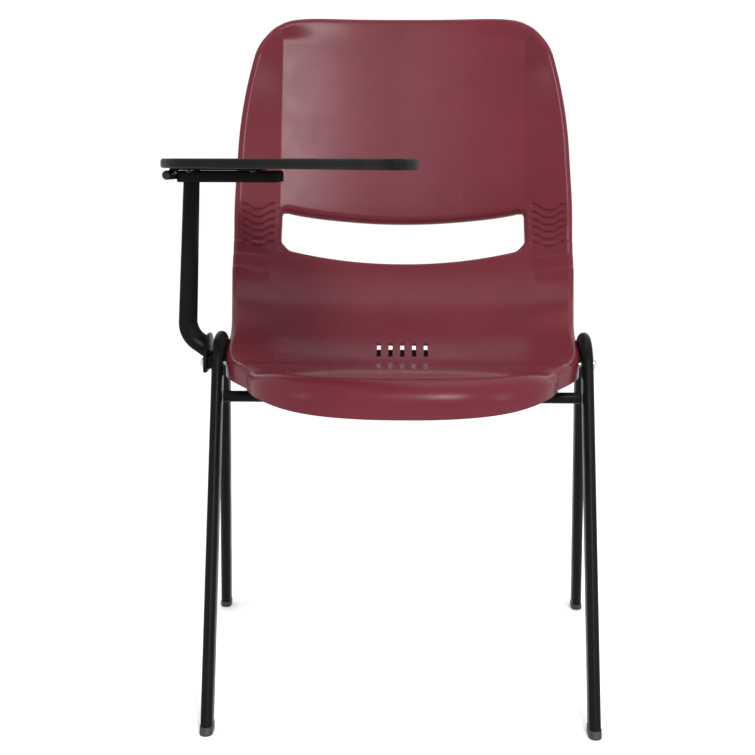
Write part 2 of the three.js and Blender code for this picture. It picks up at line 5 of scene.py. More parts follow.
import bmesh
import bpy
import numpy as np
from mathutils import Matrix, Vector


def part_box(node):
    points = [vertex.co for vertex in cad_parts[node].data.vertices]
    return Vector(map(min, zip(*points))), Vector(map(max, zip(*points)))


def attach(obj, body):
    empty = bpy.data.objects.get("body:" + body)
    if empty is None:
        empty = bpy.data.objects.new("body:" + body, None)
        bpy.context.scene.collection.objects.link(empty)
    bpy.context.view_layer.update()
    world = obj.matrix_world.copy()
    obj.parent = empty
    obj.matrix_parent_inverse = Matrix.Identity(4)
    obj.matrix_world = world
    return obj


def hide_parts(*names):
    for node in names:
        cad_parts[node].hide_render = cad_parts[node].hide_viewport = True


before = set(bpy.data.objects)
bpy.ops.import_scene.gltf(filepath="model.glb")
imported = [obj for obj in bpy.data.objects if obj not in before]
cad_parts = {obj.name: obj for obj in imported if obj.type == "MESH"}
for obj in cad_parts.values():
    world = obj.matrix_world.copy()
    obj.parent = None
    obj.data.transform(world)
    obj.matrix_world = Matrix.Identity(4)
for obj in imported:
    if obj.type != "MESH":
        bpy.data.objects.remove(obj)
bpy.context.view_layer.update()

# The chair's middle plane, and the middle of its footprint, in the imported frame.
mm = 0.001
spacerLow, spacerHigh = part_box("arm_spacer_front")
crossLow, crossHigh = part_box("front_crossbar")
chairMiddle = np.array([
    (crossLow.x + crossHigh.x) / 2,
    (spacerLow.y + spacerHigh.y) / 2 + 30 * mm,
    0,
])


def toFrame(points):
    # Chair millimetres to frame metres.
    return np.asarray(points, float) * mm + chairMiddle


def unit(vectors):
    return vectors / np.maximum(np.linalg.norm(vectors, axis=-1, keepdims=True), 1e-12)


def smoothStep(value, low, high):
    share = np.clip((value - low) / (high - low), 0, 1)
    return share * share * (3 - 2 * share)


def ramp(pairs, value):
    # Smooth interpolation through (position, value) pairs.
    value = np.asarray(value, float)
    result = np.full(value.shape, float(pairs[0][1]))
    for (start, low), (end, high) in zip(pairs, pairs[1:]):
        result = np.where(value >= start, low + (high - low) * smoothStep(value, start, end), result)
    return result


def addObject(name, data):
    added = bpy.data.objects.new(name, data)
    bpy.context.scene.collection.objects.link(added)
    return added


def addPiece(name, points, faces, finish, body="frame", replaces=(), sharp=35):
    material, slot = finish
    mesh = bpy.data.meshes.new(name)
    mesh.from_pydata([tuple(point) for point in toFrame(points)], [], [tuple(face) for face in faces])
    mesh.validate()
    mesh.materials.append(material)
    mesh.shade_smooth()
    mesh.set_sharp_from_angle(angle=math.radians(sharp))
    piece = addObject(name, mesh)
    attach(piece, body)
    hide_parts(*replaces)
    return piece


# Finishes. Each has its own function, and what a user would change is in its dictionary.

def startMaterial(name, colour, roughness, metallic=0.0, specular=0.5):
    material = bpy.data.materials.new(name)
    material.use_nodes = True
    nodes, links = material.node_tree.nodes, material.node_tree.links
    shader = nodes["Principled BSDF"]
    shader.inputs["Base Color"].default_value = (*colour, 1)
    shader.inputs["Roughness"].default_value = roughness
    shader.inputs["Metallic"].default_value = metallic
    shader.inputs["Specular IOR Level"].default_value = specular
    place = nodes.new("ShaderNodeTexCoord").outputs["Object"]
    return SimpleNamespace(material=material, nodes=nodes, links=links, shader=shader, place=place)


def addNoise(finish, scale, detail=3.0, roughness=0.5, stretch=None):
    noise = finish.nodes.new("ShaderNodeTexNoise")
    noise.inputs["Scale"].default_value = scale
    noise.inputs["Detail"].default_value = detail
    noise.inputs["Roughness"].default_value = roughness
    place = finish.place
    if stretch:
        mapping = finish.nodes.new("ShaderNodeMapping")
        mapping.inputs["Scale"].default_value = stretch
        finish.links.new(place, mapping.inputs["Vector"])
        place = mapping.outputs["Vector"]
    finish.links.new(place, noise.inputs["Vector"])
    return noise.outputs["Fac"]


def addRange(finish, source, low, high):
    # Spreads the middle of a noise over a range.
    mapRange = finish.nodes.new("ShaderNodeMapRange")
    for socket, value in (("From Min", 0.3), ("From Max", 0.7), ("To Min", low), ("To Max", high)):
        mapRange.inputs[socket].default_value = value
    finish.links.new(source, mapRange.inputs["Value"])
    return mapRange.outputs["Result"]


def addTint(finish, source, dark, light):
    tint = finish.nodes.new("ShaderNodeMix")
    tint.data_type = "RGBA"
    tint.inputs[6].default_value = (*dark, 1)
    tint.inputs[7].default_value = (*light, 1)
    finish.links.new(source, tint.inputs[0])
    finish.links.new(tint.outputs[2], finish.shader.inputs["Base Color"])


def addRoughness(finish, source, low, high):
    finish.links.new(addRange(finish, source, low, high), finish.shader.inputs["Roughness"])


def addBump(finish, heights, distance, strength=0.5):
    bump = finish.nodes.new("ShaderNodeBump")
    bump.inputs["Distance"].default_value = distance * mm
    bump.inputs["Strength"].default_value = strength
    finish.links.new(heights, bump.inputs["Height"])
    finish.links.new(bump.outputs["Normal"], finish.shader.inputs["Normal"])


shellFinish = {
    "colour": (0.099, 0.0145, 0.0218),
    "darkColour": (0.092, 0.0131, 0.0195),
    "lightColour": (0.106, 0.0160, 0.0242),
    "roughness": (0.22, 0.28),
    "specular": 0.10,
    "grainScale": 900,
    "grainDepth": 0.10,
}


def makeShellPlastic():
    look = shellFinish
    finish = startMaterial("burgundyShellPlastic", look["colour"], 0.4, specular=look["specular"])
    clouds = addRange(finish, addNoise(finish, 9, 4), 0.0, 1.0)
    addTint(finish, clouds, look["darkColour"], look["lightColour"])
    addRoughness(finish, addNoise(finish, 34, 6, 0.62), *look["roughness"])
    addBump(finish, addNoise(finish, look["grainScale"], 2, 0.6), look["grainDepth"], 0.55)
    return finish.material


frameFinish = {
    "colour": (0.003, 0.003, 0.0034),
    "lightColour": (0.006, 0.006, 0.0066),
    "roughness": (0.28, 0.40),
    "specular": 0.05,
}


def makeFramePaint():
    look = frameFinish
    finish = startMaterial("blackPowderCoat", look["colour"], 0.35, specular=look["specular"])
    clouds = addNoise(finish, 22, 4)
    addTint(finish, clouds, look["colour"], look["lightColour"])
    addRoughness(finish, clouds, *look["roughness"])
    addBump(finish, addNoise(finish, 620, 2, 0.5), 0.06)
    return finish.material


tabletFinish = {
    "colour": (0.004, 0.004, 0.0044),
    "lightColour": (0.008, 0.008, 0.0086),
    "roughness": (0.42, 0.56),
    "specular": 0.06,
}


def makeTabletPlastic():
    look = tabletFinish
    finish = startMaterial("blackTabletLaminate", look["colour"], 0.5, specular=look["specular"])
    clouds = addNoise(finish, 14, 5)
    addTint(finish, clouds, look["colour"], look["lightColour"])
    addRoughness(finish, clouds, *look["roughness"])
    pebbles = finish.nodes.new("ShaderNodeTexVoronoi")
    pebbles.inputs["Scale"].default_value = 950
    finish.links.new(finish.place, pebbles.inputs["Vector"])
    addBump(finish, pebbles.outputs["Distance"], 0.12)
    return finish.material


def makeGlideNylon():
    finish = startMaterial("blackGlideNylon", (0.008, 0.008, 0.009), 0.55)
    scuffs = addNoise(finish, 160, 5, 0.6, (1, 1, 4))
    addTint(finish, scuffs, (0.006, 0.006, 0.007), (0.024, 0.024, 0.025))
    addRoughness(finish, scuffs, 0.45, 0.75)
    addBump(finish, scuffs, 0.1)
    return finish.material


def makeZincPlate():
    finish = startMaterial("zincPlate", (0.55, 0.56, 0.58), 0.28, 1.0)
    spangle = addNoise(finish, 420, 3)
    addTint(finish, spangle, (0.42, 0.43, 0.45), (0.66, 0.66, 0.67))
    addRoughness(finish, spangle, 0.20, 0.38)
    addBump(finish, spangle, 0.03)
    return finish.material


def makeBlackOxide():
    finish = startMaterial("blackOxideSteel", (0.012, 0.012, 0.013), 0.4, 0.6)
    handling = addNoise(finish, 260, 4)
    addTint(finish, handling, (0.008, 0.008, 0.009), (0.03, 0.03, 0.032))
    addRoughness(finish, handling, 0.32, 0.5)
    addBump(finish, handling, 0.03)
    return finish.material


# Each finish with its slot. The blackened fixings share the zinc ones' slot.
shellPlastic = (makeShellPlastic(), "shell_plastic")
framePaint = (makeFramePaint(), "frame_paint")
tabletPlastic = (makeTabletPlastic(), "tablet_plastic")
glideNylon = (makeGlideNylon(), "glide_plastic")
zincPlate = (makeZincPlate(), "zinc")
blackOxide = (makeBlackOxide(), "zinc")
print("finishes made")


# Shell: one lofted sheet with rolled rims, thickened.

shellShape = {
    "thickness": 4.5,
    "seatHalfWidth": 222.6,
    "backHalfWidth": 231.5,
    "shoulderHalfWidth": 228.5,
    "creaseHalfWidth": 176,
    "rimRadius": 5,
    "lipRadius": 30,
    "skirtBottom": 395,
    "skirtY": -70,
    "lipBottom": 376.5,
    "lipY": -208,
    "frontDepth": 95,
    "topDepth": 58,
    "frontNarrowing": 37.5,
    "topNarrowing": 25.5,
    "taperLength": 241,
    "panelHollow": 13,
    # The edge's height over the centre line, as (length along it, height), and its last height at the top.
    "edgeLift": [(0, -9), (70, -10), (135, 3), (190, 11), (245, 12), (330, 19), (420, 28), (500, 32)],
    "edgeHeight": 33,
    # Centre line in side view, as (Y, Z), from the front crest to the top edge.
    "profile": [(-207, 420), (-165, 424), (-100, 419), (-40, 415.5), (20, 426), (85, 448), (145, 480),
                (185, 521), (207, 566), (219, 612), (242, 706), (280.4, 869.5)],
}
openingShape = {
    "halfLength": 181,
    "bottomHeight": 522,
    "topHeight": 591.2,
    "bottomRise": 19,
    "topRise": 18,
    "cornerRadius": 20,
    "bottomRoll": 5.5,
    "sideRoll": 9.5,
    "topRoll": (10, 11),
    "skirt": 3.0,
}
ventShape = {"count": 5, "pitch": 15.5, "width": 7.3, "frontY": -12, "backY": 38, "roll": 1.1, "skirt": 3.4}
grooveShape = {
    "count": 6,
    "lowest": 548.8,
    "highest": 603.8,
    "inner": 183,
    "outer": 230,
    "dip": 8,
    "lean": 3.4,
    "width": 2.4,
    "depth": 2.4,
}
ledgeShape = {"heights": (508, 529, 549), "step": 2.0, "edge": 4.4, "run": 28, "inner": (184, 196)}


def curveThrough(points, samples=400):
    # Centripetal Catmull-Rom curve, as a dense line with its length along it.
    points = np.array(points, float)
    ends = [2 * points[0] - points[1], *points, 2 * points[-1] - points[-2]]
    line = []
    for p0, p1, p2, p3 in zip(ends, ends[1:], ends[2:], ends[3:]):
        d0, d1, d2 = (max(np.linalg.norm(b - a) ** 0.5, 1e-4) for a, b in ((p0, p1), (p1, p2), (p2, p3)))
        t1 = ((p1 - p0) / d0 - (p2 - p0) / (d0 + d1) + (p2 - p1) / d1) * d1
        t2 = ((p2 - p1) / d1 - (p3 - p1) / (d1 + d2) + (p3 - p2) / d2) * d1
        t = np.linspace(0, 1, samples, endpoint=False)[:, None]
        start = p1 + t1 * t + (-3 * p1 + 3 * p2 - 2 * t1 - t2) * t**2
        line.append(start + (2 * p1 - 2 * p2 + t1 + t2) * t**3)
    line = np.vstack([*line, points[-1:]])
    along = np.concatenate([[0], np.cumsum(np.linalg.norm(np.diff(line, axis=0), axis=1))])
    return line, along


profileLine, profileAlong = curveThrough(shellShape["profile"])
profileLength = profileAlong[-1]
profileSlope = unit(np.gradient(profileLine, profileAlong, axis=0))


def profileAt(along):
    y, z = (np.interp(along, profileAlong, profileLine[:, axis]) for axis in (0, 1))
    slopeY, slopeZ = (np.interp(along, profileAlong, profileSlope[:, axis]) for axis in (0, 1))
    beyond = np.asarray(along) - np.clip(along, 0, profileLength)
    return y + slopeY * beyond, z + slopeZ * beyond, -slopeZ, slopeY


def alongAtHeight(height):
    # Place on the back half of the centre line at a height.
    back = profileAlong > 300
    return float(np.interp(height, profileLine[back, 1], profileAlong[back]))


def alongAtDepth(depth):
    # Place on the seat half of the centre line at a Y.
    seat = profileAlong < 330
    return float(np.interp(depth, profileLine[seat, 0], profileAlong[seat]))


def edgeLift(along):
    # How far the edge stands proud of the centre line.
    return ramp([*shellShape["edgeLift"], (profileLength, shellShape["edgeHeight"])], along)


def halfWidth(along):
    shape = shellShape
    fromFront = np.clip((207 - along) / 112, 0, 1)
    start = profileLength - shape["taperLength"]
    fromTop = np.clip((along - start) / (shape["taperLength"] - shape["topDepth"]), 0, 1)
    seat, back, shoulder = (shape[part + "HalfWidth"] for part in ("seat", "back", "shoulder"))
    side = ramp([(250, seat), (400, back), (470, back), (580, shoulder)], along)
    return side - shape["frontNarrowing"] * fromFront**2 - shape["topNarrowing"] * fromTop**2.2


def creaseAt(along):
    # The crease follows the panel's edge, then runs outwards below the opening and fades.
    start = alongAtHeight(openingShape["bottomHeight"] + 25)
    return shellShape["creaseHalfWidth"] + 0.25 * np.clip(start - along, 0, 100)


def surfaceLift(across, along):
    shape = shellShape
    half = halfWidth(along)
    side = np.abs(across)
    dish = edgeLift(along) * np.minimum(1.05, side / half) ** 3
    crease = creaseAt(along)
    panelShare = np.minimum(1, side / crease)
    panel = shape["panelHollow"] * panelShare**2.4
    wingShare = np.clip((side - crease) / np.maximum(half - crease, 8), 0, 1.1)
    wing = wingShare * (edgeLift(along) - shape["panelHollow"])
    backShare = ramp([(345, 0), (445, 1), (profileLength - 32, 1), (profileLength - 2, 0.1)], along)
    return dish + (panel + wing - dish) * backShare


def surfaceDetail(across, along):
    # Finger grooves and the shallow ledges below them, on both wings.
    side = np.abs(across)
    shape = grooveShape
    share = (side - shape["inner"]) / (shape["outer"] - shape["inner"])
    fade = smoothStep(share, -0.03, 0.06) * (1 - smoothStep(share, 0.94, 1.02))
    dip = shape["dip"] * smoothStep(share, 0.10, 0.42) * (1 - smoothStep(share, 0.58, 0.90))
    depth = np.zeros_like(side)
    for height in np.linspace(shape["lowest"], shape["highest"], shape["count"]):
        away = (along + dip + shape["lean"] * (share - 0.5) - alongAtHeight(height)) / shape["width"]
        depth = np.maximum(depth, np.clip(1 - away**2, 0, 1) ** 0.7)
    relief = -shape["depth"] * depth * fade
    ledge = ledgeShape
    wave = np.zeros_like(side)
    for height in ledge["heights"]:
        below = alongAtHeight(height) - along
        rise = smoothStep(below, 0, ledge["edge"]) * (1 - smoothStep(below, ledge["edge"], ledge["run"]))
        wave = np.maximum(wave, ledge["step"] * rise)
    return relief + wave * smoothStep(side, *ledge["inner"])


def surfacePoints(across, along):
    y, z, upY, upZ = profileAt(along)
    height = surfaceLift(across, along) + surfaceDetail(across, along)
    return np.stack([across, y + upY * height, z + upZ * height], axis=-1)


def surfaceNormals(across, along, step=0.4):
    # Normals of the sheet itself, from small steps either way.
    run = surfacePoints(across + step, along) - surfacePoints(across - step, along)
    climb = surfacePoints(across, along + step) - surfacePoints(across, along - step)
    return unit(np.cross(run, climb))


def roundCorners(across, along, halfLength, low, high, radius, reach):
    # Pulls grid lines round the corners of a rectangular hole.
    for middle, sign in ((high - radius, 1), (low + radius, -1)):
        q = np.stack([np.abs(across) - (halfLength - radius), sign * (along - middle)], axis=-1)
        square = q.max(axis=-1)
        inside = (q > 0).all(axis=-1) & (square >= radius * 0.98)
        length = np.maximum(np.linalg.norm(q, axis=-1), 1e-9)
        fade = smoothStep(square, radius, radius + reach)
        factor = (1 - fade) * square / length + fade
        moved = q * factor[..., None]
        across = np.where(inside, np.sign(across) * (halfLength - radius + moved[..., 0]), across)
        along = np.where(inside, middle + sign * moved[..., 1], along)
    return across, along


def spaced(stops, steps):
    # Stops joined by evenly spaced values of about the given steps.
    values = [stops[0]]
    for low, high, step in zip(stops, stops[1:], steps):
        count = max(1, round((high - low) / step))
        values.extend(np.linspace(low, high, count + 1)[1:])
    return np.array(values)


def shellGrid():
    shape, opening, vent = shellShape, openingShape, ventShape
    half = shape["backHalfWidth"]
    ventEdges = []
    for number in range(vent["count"]):
        centre = (number - (vent["count"] - 1) / 2) * vent["pitch"]
        ventEdges += [centre - vent["width"] / 2, centre + vent["width"] / 2]
    ventEdges = np.array(ventEdges) * half / shape["seatHalfWidth"]
    outer = spaced([opening["halfLength"], half], [1.6])
    slotEdges = [edge for edge in ventEdges if edge > 0]
    inner = spaced([*slotEdges, opening["halfLength"] - 32, opening["halfLength"]], [1.9] * 4 + [4.2, 1.2])
    right = np.concatenate([inner, outer[1:]])
    columns = np.concatenate([-right[::-1], [0], right]) / half
    bottom, top = alongAtHeight(opening["bottomHeight"]), alongAtHeight(opening["topHeight"])
    ventFront, ventBack = alongAtDepth(vent["frontY"]), alongAtDepth(vent["backY"])
    detailLow = alongAtHeight(ledgeShape["heights"][0]) - ledgeShape["run"]
    detailHigh = alongAtHeight(grooveShape["highest"]) + 14
    rows = spaced([0, ventFront, ventBack, detailLow, bottom, top, detailHigh, profileLength],
                  [4, 2.5, 5, 1.1, 1.0, 1.1, 4.2])
    holes = {"bottom": bottom, "top": top, "ventFront": ventFront, "ventBack": ventBack,
             "ventEdges": ventEdges / half}
    return columns, rows, holes


def gridToSheet(columns, rows, holes):
    shape, opening = shellShape, openingShape
    column, nominal = np.meshgrid(columns, rows)
    across = column * shape["backHalfWidth"]
    across, nominal = roundCorners(across, nominal, opening["halfLength"], holes["bottom"], holes["top"],
                                   opening["cornerRadius"], 26)
    column = across / shape["backHalfWidth"]
    frontFade = np.clip(1 - nominal / 190, 0, 1) ** 1.5
    topFade = np.clip(1 - (profileLength - nominal) / 240, 0, 1) ** 1.5
    edge = np.minimum(np.abs(column), 1)
    frontShift = shape["frontDepth"] * (1 - (1 - edge**3) ** 0.8) * frontFade
    topShift = shape["topDepth"] * (1 - (1 - edge**8) ** 0.86) * topFade
    along = nominal + frontShift - topShift
    width = halfWidth(nominal + shape["frontDepth"] * frontFade - shape["topDepth"] * topFade)
    sideShare = np.minimum(1, np.abs(across) / opening["halfLength"]) ** 2
    rise = ramp([(holes["bottom"], opening["bottomRise"]), (holes["top"], opening["topRise"])], nominal)
    away = np.maximum(holes["bottom"] - nominal, nominal - holes["top"])
    along = along + rise * sideShare * (1 - smoothStep(away, 0, 90))
    return column * width, along


def rimFrames(loop, points, ups, normals):
    # Outward direction and tilt of the sheet at each point of a border loop.
    ring = points[loop]
    tangent = np.roll(ring, -1, axis=0) - np.roll(ring, 1, axis=0)
    up = ups[loop]
    outward = unit(np.cross(tangent, up))
    normal = normals[loop]
    tilt = np.arctan2(-(normal * outward).sum(1), (normal * up).sum(1))
    return ring, up, outward, np.clip(tilt, -0.7, 0.7)


def rollRim(points, faces, loop, frames, radius, skirt, steps=8, skirtSteps=3):
    # Rolls a border over and runs it on as a straight skirt.
    ring, up, outward, tilt = frames
    previous = np.array(loop)
    for step in range(1, steps + skirtSteps + 1):
        share = min(1, step / steps)
        angle = -tilt + (np.pi / 2 + tilt) * share
        over = (radius * (np.sin(angle) + np.sin(tilt)))[:, None]
        down = (radius * (np.cos(angle) - np.cos(tilt)))[:, None]
        fall = (skirt * max(0, step - steps) / skirtSteps)[:, None]
        start = len(points)
        points = np.vstack([points, ring + outward * over + up * (down - fall)])
        current = np.arange(start, start + len(loop))
        following = np.roll(current, -1)
        faces.extend(zip(np.roll(previous, -1), previous, current, following))
        previous = current
    return points, previous


def smoothLoop(values, passes=6):
    for _ in range(passes):
        values = (np.roll(values, 1, axis=0) + 2 * values + np.roll(values, -1, axis=0)) / 4
    return values


def rimValues(ring, tilt):
    # The rim's radius, and the length of the skirt that hangs below it round the seat.
    shape = shellShape
    front = smoothStep(-ring[:, 1], 60, 205) ** 2
    radius = shape["rimRadius"] + 2 + (shape["lipRadius"] - shape["rimRadius"] - 2) * front
    rise = np.clip((ring[:, 1] - shape["lipY"]) / (shape["skirtY"] - shape["lipY"]), 0, 1) ** 0.55
    bottom = shape["lipBottom"] + (shape["skirtBottom"] - shape["lipBottom"]) * rise
    skirt = ring[:, 2] - radius * np.cos(tilt) - bottom
    share = 1 - smoothStep(ring[:, 1], 24, 50)
    return radius, np.maximum(1.5, skirt * share)


def openingRadius(ring):
    # A tight roll below, a wider one up the ends and the widest above, under the panel's edge.
    opening = openingShape
    side, height = np.abs(ring[:, 0]), ring[:, 2]
    low, high = opening["topRoll"]
    upper = low + (high - low) * smoothStep(side, 70, 145)
    widening = opening["sideRoll"] - opening["bottomRoll"]
    lower = opening["bottomRoll"] + widening * smoothStep(side, 158, 180)
    share = smoothStep(height, 555, 595)
    return smoothLoop(lower + (upper - lower) * share, 10)


def sheetNormals(points, faces):
    quads = points[np.array(faces)]
    normal = unit(np.cross(quads[:, 2] - quads[:, 0], quads[:, 3] - quads[:, 1]))
    total = np.zeros_like(points)
    for corner in range(4):
        np.add.at(total, np.array(faces)[:, corner], normal)
    return unit(total)


def nearest(values, value):
    return int(np.argmin(np.abs(values - value)))


def buildShell():
    columns, rows, holes = shellGrid()
    across, along = gridToSheet(columns, rows, holes)
    rowCount, columnCount = across.shape
    points = surfacePoints(across, along).reshape(-1, 3)
    _, _, upY, upZ = profileAt(along.reshape(-1))
    ups = np.stack([np.zeros_like(upY), upY, upZ], axis=-1)
    number = np.arange(rowCount * columnCount).reshape(rowCount, columnCount)

    openShare = openingShape["halfLength"] / shellShape["backHalfWidth"]
    spans = [(holes["bottom"], holes["top"], -openShare, openShare)]
    spans += [(holes["ventFront"], holes["ventBack"], left, right)
              for left, right in zip(holes["ventEdges"][::2], holes["ventEdges"][1::2])]
    windows = [(nearest(rows, low), nearest(rows, high), nearest(columns, left), nearest(columns, right))
               for low, high, left, right in spans]
    solid = np.ones((rowCount - 1, columnCount - 1), bool)
    for low, high, left, right in windows:
        solid[low:high, left:right] = False
    faces = [(number[r, c], number[r, c + 1], number[r + 1, c + 1], number[r + 1, c])
             for r, c in zip(*np.nonzero(solid))]
    sheetUp = surfaceNormals(across, along).reshape(-1, 3)

    rim = [*number[0, :-1], *number[:-1, -1], *number[-1, :0:-1], *number[:0:-1, 0]]
    frames = list(rimFrames(rim, points, ups, sheetUp))
    frames[2] = unit(smoothLoop(frames[2], 3))
    frames[3] = smoothLoop(frames[3], 3)
    radius, skirt = rimValues(frames[0], frames[3])
    points, border = rollRim(points, faces, rim, frames, radius, skirt)
    borders = [border]
    for place, (low, high, left, right) in enumerate(windows):
        hole = [*number[low:high, left], *number[high, left:right], *number[high:low:-1, right],
                *number[low, right:left:-1]]
        frames = list(rimFrames(hole, points, ups, sheetUp))
        radius, skirt = np.full(len(hole), ventShape["roll"]), np.full(len(hole), ventShape["skirt"])
        if place == 0:
            frames[2] = unit(smoothLoop(frames[2], 40))
            frames[3] = smoothLoop(frames[3], 12)
            radius, skirt = openingRadius(frames[0]), np.full(len(hole), openingShape["skirt"])
        points, border = rollRim(points, faces, hole, frames, radius, skirt, 6 if place == 0 else 2, 2)
        borders.append(border)

    normals = sheetNormals(points, faces)
    normals[:len(sheetUp)] = sheetUp
    count = len(points)
    under = points - normals * shellShape["thickness"]
    allFaces = faces + [tuple(count + vertex for vertex in reversed(face)) for face in faces]
    for border in borders:
        following = np.roll(border, -1)
        allFaces.extend(zip(following, border, border + count, following + count))
    used = np.unique(np.array(allFaces))
    renumber = np.full(2 * count, -1)
    renumber[used] = np.arange(len(used))
    allPoints = np.vstack([points, under])[used]
    return addPiece("moulded_shell", allPoints, renumber[np.array(allFaces)].tolist(), shellPlastic,
                    replaces=("seat_shell",), sharp=50)


shellPiece = buildShell()
print("shell built:", len(shellPiece.data.polygons), "faces")


# Solids through rings of points.

def ringFaces(count, ringCount, closed=False):
    # Quads between neighbouring rings; a closed run joins its last ring to its first.
    faces = []
    for ring in range(ringCount if closed else ringCount - 1):
        near, far = ring * count, (ring + 1) % ringCount * count
        for side in range(count):
            following = (side + 1) % count
            faces.append((near + side, near + following, far + following, far + side))
    return faces


def loftPiece(name, rings, finish, **options):
    # Each ring is a closed loop, and the ends are capped.
    count = len(rings[0])
    points = np.vstack(rings)
    faces = ringFaces(count, len(rings))
    faces.append(tuple(range(count - 1, -1, -1)))
    faces.append(tuple(range(len(points) - count, len(points))))
    piece = addPiece(name, points, faces, finish, **options)
    fixNormals(piece)
    return piece


def loopPiece(name, rings, finish, **options):
    # Rings joined round to the first one again, as in a washer.
    faces = ringFaces(len(rings[0]), len(rings), closed=True)
    piece = addPiece(name, np.vstack(rings), faces, finish, sharp=30, **options)
    fixNormals(piece)
    return piece


def fixNormals(piece):
    mesh = bmesh.new()
    mesh.from_mesh(piece.data)
    bmesh.ops.recalc_face_normals(mesh, faces=mesh.faces)
    mesh.to_mesh(piece.data)
    mesh.free()


def turnedPiece(name, profile, axis, origin, finish, steps=48, **options):
    # Turns (radius, along) points round an axis through the origin.
    along = unit(np.array(axis, float))
    side = unit(np.cross(along, [0.3, 0.5, 0.8]))
    other = np.cross(along, side)
    angles = np.arange(steps)[:, None] / steps * 2 * np.pi
    circuit = np.cos(angles) * side + np.sin(angles) * other
    rings = [np.array(origin) + along * reach + radius * circuit for radius, reach in profile]
    return loftPiece(name, rings, finish, sharp=30, **options)


def softEdge(low, high, soft, steps):
    # (inset, level) pairs up a side with both edges rounded.
    angles = np.arange(steps + 1) / steps * np.pi / 2
    lower = [(soft * (1 - np.sin(angle)), low + soft * (1 - np.cos(angle))) for angle in angles]
    return lower + [(inset, high + low - level) for inset, level in reversed(lower)]


def roundedProfile(radius, start, end, soft, steps=4):
    # (radius, along) points of a bar with softened ends.
    pole = max(radius - soft, 0.05) * 0.02
    sides = [(radius - inset, level) for inset, level in softEdge(start, end, soft, steps)]
    return [(pole, start), *sides, (pole, end)]


def sectionRing(point, tangent, side, section, turn=0.0):
    # A section set square to the tangent, with its second axis along the side.
    across = unit(side - tangent * side.dot(tangent))
    deep = np.cross(across, tangent)
    u = section[:, 0] * np.cos(turn) - section[:, 1] * np.sin(turn)
    v = section[:, 0] * np.sin(turn) + section[:, 1] * np.cos(turn)
    return point + u[:, None] * deep + v[:, None] * across


def sweepRings(path, side, section, turns=None):
    tangents = unit(np.gradient(path, axis=0))
    turns = np.zeros(len(path)) if turns is None else turns
    return [sectionRing(point, tangent, side, section, turn)
            for point, tangent, turn in zip(path, tangents, turns)]


def levelRing(ring, tangent, height):
    # Slides a ring's points along the tangent until they lie at one height.
    reach = (height - ring[:, 2]) / tangent[2]
    return ring + reach[:, None] * tangent


def flatOval(width, depth, steps=10):
    radius, shift = width / 2, depth / 2 - width / 2
    angles = (np.arange(steps + 1) / steps - 0.5) * np.pi
    first = np.stack([shift + radius * np.cos(angles), radius * np.sin(angles)], axis=1)
    flat = np.linspace(first[-1], -first[0], 4)[1:-1]
    return np.vstack([first, flat, -first, -flat])


# Side frames: flat oval tube bent to an arch, with a nylon glide in a shoe at each foot.

legShape = {
    "width": 14.5,
    "depth": 29,
    "archX": 237.5,
    "archTop": 450,
    "archRadius": 40,
    "frontFootX": 229.5,
    "rearFootX": 266.5,
    "footY": 243,
    "glideHeight": 9,
    "glideWall": 0.7,
}


def legLean():
    # The arch's centre height, and the angle at which straight legs leave it for the feet.
    shape = legShape
    radius, footY = shape["archRadius"], shape["footY"]
    centre = shape["archTop"] - shape["depth"] / 2 - radius
    return centre, math.atan2(footY, centre) - math.asin(radius / math.hypot(footY, centre))


def legPoint(side, fore, height):
    # Side is -1 at the left, and fore is -1 for a front leg.
    shape = legShape
    centre, lean = legLean()
    startY = shape["archRadius"] * math.cos(lean)
    startZ = centre + shape["archRadius"] * math.sin(lean)
    footX = shape["frontFootX"] if fore < 0 else shape["rearFootX"]
    drop = (startZ - height) / startZ
    across = shape["archX"] + (footX - shape["archX"]) * drop
    return np.array([side * across, fore * (startY + (startZ - height) * math.tan(lean)), height])


def legPath(side):
    shape = legShape
    centre, lean = legLean()
    startZ = centre + shape["archRadius"] * math.sin(lean)
    heights = np.linspace(shape["glideHeight"] + 0.3, startZ, 24)[:-1]
    angles = np.linspace(math.pi - lean, lean, 41)
    arch = [(side * shape["archX"], shape["archRadius"] * math.cos(angle),
             centre + shape["archRadius"] * math.sin(angle)) for angle in angles]
    front = [legPoint(side, -1, height) for height in heights]
    rear = [legPoint(side, 1, height) for height in heights[::-1]]
    return np.array([*front, *arch, *rear])


def buildSideFrames():
    shape = legShape
    section = flatOval(shape["width"] - 0.1, shape["depth"] - 0.1)
    alongX = np.array([1.0, 0, 0])
    for name, side in (("left", -1), ("right", 1)):
        path = legPath(side)
        rings = sweepRings(path, alongX, section)
        foot = shape["glideHeight"] + 0.3
        rings[0] = levelRing(rings[0], unit(path[1] - path[0]), foot)
        rings[-1] = levelRing(rings[-1], unit(path[-2] - path[-1]), foot)
        loftPiece(f"{name}_oval_tube_frame", rings, framePaint, replaces=(f"{name}_leg_frame",))
        for end, fore in (("front", -1), ("rear", 1)):
            buildGlide(name, side, end, fore)


